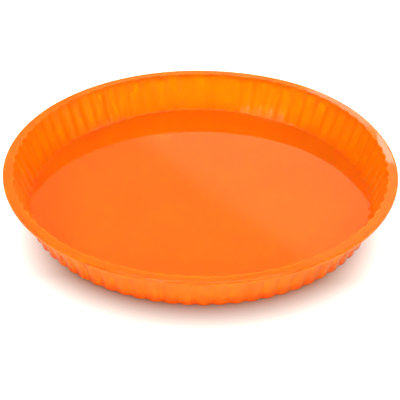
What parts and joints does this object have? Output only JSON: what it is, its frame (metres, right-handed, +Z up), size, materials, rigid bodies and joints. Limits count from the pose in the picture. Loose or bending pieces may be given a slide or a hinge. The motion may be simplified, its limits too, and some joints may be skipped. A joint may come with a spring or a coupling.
{
  "type": "fluted silicone cake mould",
  "caption": "One-piece round silicone baking mould with a flat floor, a leaning fluted wall and a plain flat rim.",
  "frame": {"origin": "centre of the flat face the mould rests on", "axes": "+Z up along the axis of the round mould, towards its open mouth; X and Y lie in the resting plane, with a flute's crest on +X"},
  "size_m": [0.3, 0.3, 0.0315],
  "materials": {
    "silicone": "gloss"
  },
  "bodies": {
    "root": {"mould": "silicone"}
  },
  "joints": []
}
